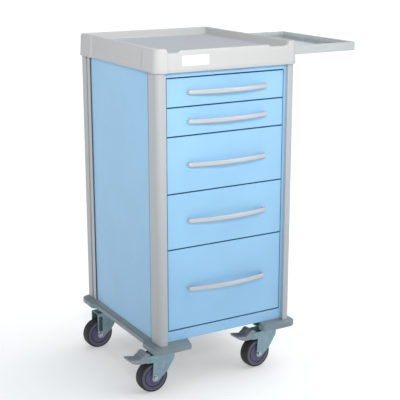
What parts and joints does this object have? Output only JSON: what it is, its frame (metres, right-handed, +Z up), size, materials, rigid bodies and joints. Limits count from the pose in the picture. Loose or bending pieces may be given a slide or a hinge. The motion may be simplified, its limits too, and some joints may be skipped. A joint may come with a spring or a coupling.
{
  "type": "medication cart",
  "caption": "Narrow medication cart: steel drawer cabinet on braked swivel casters, with bow handles, a rimmed worktop tray, corner bumpers and a pull-out side shelf.",
  "frame": {"origin": "middle of the whole cart's box at floor level, in the stored pose with the side shelf drawn out; the cabinet's own centreline is at x -0.109 m, y +0.004 m", "axes": "+Z up; +X to the user's right, the way the side shelf pulls out; the drawers open towards -Y"},
  "size_m": [0.8814, 0.586, 1.093],
  "materials": {
    "blue_enamel": "satin powder coat",
    "column_silver": "satin anodised",
    "tray_grey": "fine-textured moulding",
    "label_white": "smooth, blank",
    "bumper_grey": "fine-textured moulding",
    "chassis_enamel": "satin powder coat",
    "zinc_steel": "bright zinc plate",
    "bolt_steel": "bright plate",
    "drawer_box_enamel": "satin powder coat",
    "handle_silver": "satin metallic lacquer",
    "shelf_frame_grey": "fine-textured moulding",
    "shelf_panel_white": "smooth",
    "tyre_black": "matte rubber",
    "hub_grey": "satin moulding",
    "pedal_grey": "ribbed moulding"
  },
  "bodies": {
    "cabinet": {"base_pan": "chassis_enamel", "base_rails": "chassis_enamel", "left_side_panel": "blue_enamel", "right_side_panel": "blue_enamel", "back_panel": "blue_enamel", "front_frame": "blue_enamel", "front_left_column": "column_silver", "front_right_column": "column_silver", "rear_left_column": "column_silver", "rear_right_column": "column_silver", "top_panel": "chassis_enamel", "worktop_tray": "tray_grey", "label_plate": "label_white", "left_bumper": "bumper_grey", "right_bumper": "bumper_grey", "slide_uprights": "zinc_steel", "drawer_runners": "zinc_steel", "shelf_guides": "zinc_steel", "caster_plates": "zinc_steel", "caster_bolts": "bolt_steel"},
    "drawer_1": {"drawer_1_front": "blue_enamel", "drawer_1_box": "drawer_box_enamel", "drawer_1_handle": "handle_silver", "drawer_1_slides": "zinc_steel"},
    "drawer_2": {"drawer_2_front": "blue_enamel", "drawer_2_box": "drawer_box_enamel", "drawer_2_handle": "handle_silver", "drawer_2_slides": "zinc_steel"},
    "drawer_3": {"drawer_3_front": "blue_enamel", "drawer_3_box": "drawer_box_enamel", "drawer_3_handle": "handle_silver", "drawer_3_slides": "zinc_steel"},
    "drawer_4": {"drawer_4_front": "blue_enamel", "drawer_4_box": "drawer_box_enamel", "drawer_4_handle": "handle_silver", "drawer_4_slides": "zinc_steel"},
    "drawer_5": {"drawer_5_front": "blue_enamel", "drawer_5_box": "drawer_box_enamel", "drawer_5_handle": "handle_silver", "drawer_5_slides": "zinc_steel"},
    "side_shelf": {"side_shelf_frame": "shelf_frame_grey", "side_shelf_panel": "shelf_panel_white"},
    "front_left_caster": {"front_left_fork": "zinc_steel", "front_left_axle": "bolt_steel"},
    "front_left_wheel": {"front_left_tyre": "tyre_black", "front_left_hub": "hub_grey"},
    "front_left_brake": {"front_left_brake_pedal": "pedal_grey"},
    "front_right_caster": {"front_right_fork": "zinc_steel", "front_right_axle": "bolt_steel"},
    "front_right_wheel": {"front_right_tyre": "tyre_black", "front_right_hub": "hub_grey"},
    "front_right_brake": {"front_right_brake_pedal": "pedal_grey"},
    "rear_left_caster": {"rear_left_fork": "zinc_steel", "rear_left_axle": "bolt_steel"},
    "rear_left_wheel": {"rear_left_tyre": "tyre_black", "rear_left_hub": "hub_grey"},
    "rear_right_caster": {"rear_right_fork": "zinc_steel", "rear_right_axle": "bolt_steel"},
    "rear_right_wheel": {"rear_right_tyre": "tyre_black", "rear_right_hub": "hub_grey"}
  },
  "joints": [
    {"name": "drawer_1_slide", "type": "slide", "parent": "cabinet", "child": "drawer_1", "axis": [0, -1, 0], "range_m": [0, 0.35]},
    {"name": "drawer_2_slide", "type": "slide", "parent": "cabinet", "child": "drawer_2", "axis": [0, -1, 0], "range_m": [0, 0.35]},
    {"name": "drawer_3_slide", "type": "slide", "parent": "cabinet", "child": "drawer_3", "axis": [0, -1, 0], "range_m": [0, 0.35]},
    {"name": "drawer_4_slide", "type": "slide", "parent": "cabinet", "child": "drawer_4", "axis": [0, -1, 0], "range_m": [0, 0.35]},
    {"name": "drawer_5_slide", "type": "slide", "parent": "cabinet", "child": "drawer_5", "axis": [0, -1, 0], "range_m": [0, 0.35]},
    {"name": "side_shelf_slide", "type": "slide", "parent": "cabinet", "child": "side_shelf", "axis": [1, 0, 0], "range_m": [-0.3, 0]},
    {"name": "front_left_swivel", "type": "hinge", "parent": "cabinet", "child": "front_left_caster", "pos_m": [-0.30427, -0.203, 0.135], "axis": [0, 0, 1], "continuous": true},
    {"name": "front_left_wheel_spin", "type": "hinge", "parent": "front_left_caster", "child": "front_left_wheel", "pos_m": [-0.3502, -0.20541, 0.051], "axis": [-0.0523, 0.9986, 0], "continuous": true},
    {"name": "front_left_brake_press", "type": "hinge", "parent": "front_left_caster", "child": "front_left_brake", "pos_m": [-0.37018, -0.20645, 0.116], "axis": [0.0523, -0.9986, 0], "range_deg": [0, 12]},
    {"name": "front_right_swivel", "type": "hinge", "parent": "cabinet", "child": "front_right_caster", "pos_m": [0.08573, -0.203, 0.135], "axis": [0, 0, 1], "continuous": true},
    {"name": "front_right_wheel_spin", "type": "hinge", "parent": "front_right_caster", "child": "front_right_wheel", "pos_m": [0.03998, -0.20781, 0.051], "axis": [-0.1045, 0.9945, 0], "continuous": true},
    {"name": "front_right_brake_press", "type": "hinge", "parent": "front_right_caster", "child": "front_right_brake", "pos_m": [0.02009, -0.2099, 0.116], "axis": [0.1045, -0.9945, 0], "range_deg": [0, 12]},
    {"name": "rear_left_swivel", "type": "hinge", "parent": "cabinet", "child": "rear_left_caster", "pos_m": [-0.30427, 0.211, 0.135], "axis": [0, 0, 1], "continuous": true},
    {"name": "rear_left_wheel_spin", "type": "hinge", "parent": "rear_left_caster", "child": "rear_left_wheel", "pos_m": [-0.35015, 0.20779, 0.051], "axis": [-0.0698, 0.9976, 0], "continuous": true},
    {"name": "rear_right_swivel", "type": "hinge", "parent": "cabinet", "child": "rear_right_caster", "pos_m": [0.08573, 0.211, 0.135], "axis": [0, 0, 1], "continuous": true},
    {"name": "rear_right_wheel_spin", "type": "hinge", "parent": "rear_right_caster", "child": "rear_right_wheel", "pos_m": [0.04018, 0.2046, 0.051], "axis": [-0.1392, 0.9903, 0], "continuous": true}
  ]
}
